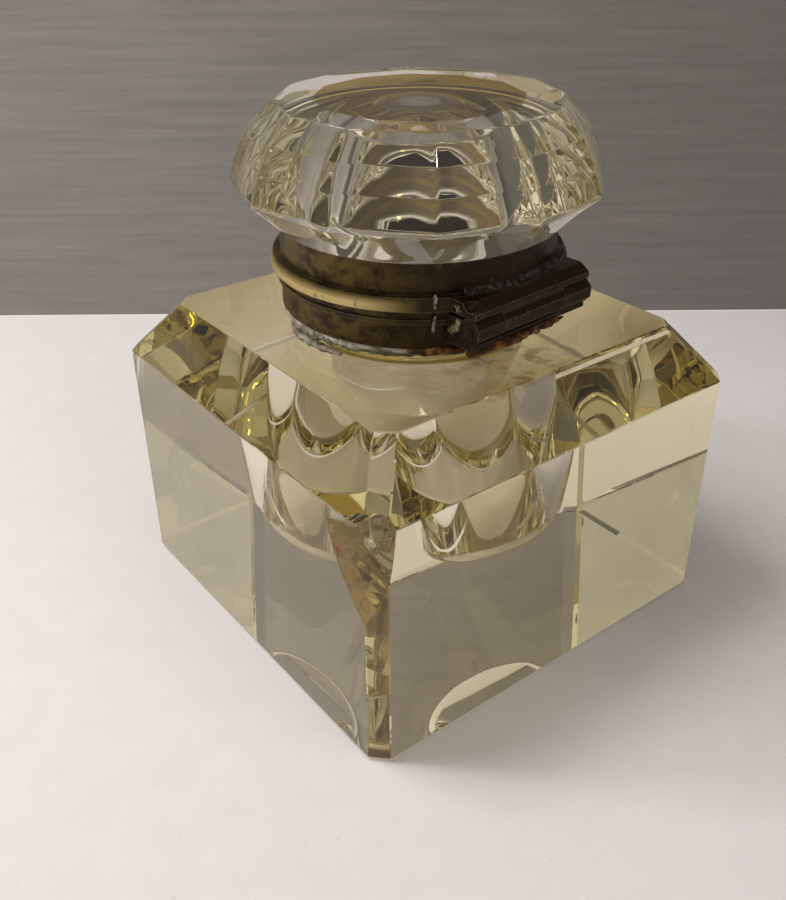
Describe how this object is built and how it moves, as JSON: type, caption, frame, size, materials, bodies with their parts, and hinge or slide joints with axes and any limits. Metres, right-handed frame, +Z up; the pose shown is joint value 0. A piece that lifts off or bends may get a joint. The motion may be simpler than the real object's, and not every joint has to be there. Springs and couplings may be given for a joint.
{
  "type": "inkwell",
  "caption": "Square cut-glass inkwell with a panelled well, a brass hinged collar and a faceted hollow glass lid.",
  "frame": {"origin": "centre of the block's underside", "axes": "+Z up through the lid, +Y towards the hinge at the back, +X to the right"},
  "size_m": [0.068, 0.068, 0.0799],
  "materials": {
    "glass": "polished cut glass, pale straw tint",
    "plaster": "set plaster, chalky",
    "brass": "tarnished, rubbed bright on the edges",
    "pin": "dull drawn wire",
    "solder": "dull soft solder"
  },
  "bodies": {
    "base": {"glass_block": "glass", "base_cement": "plaster", "lower_collar": "brass", "throat_ring": "brass", "lower_hinge_leaf": "brass", "hinge_pin": "pin", "lower_solder": "solder"},
    "lid": {"glass_lid": "glass", "lid_cement": "plaster", "upper_collar": "brass", "upper_hinge_leaf": "brass", "upper_solder": "solder"}
  },
  "joints": [
    {"name": "lid_hinge", "type": "hinge", "parent": "base", "child": "lid", "pos_m": [-0.00153, 0.0219, 0.05513], "axis": [-0.9976, -0.0698, 0], "range_deg": [0, 95]}
  ]
}
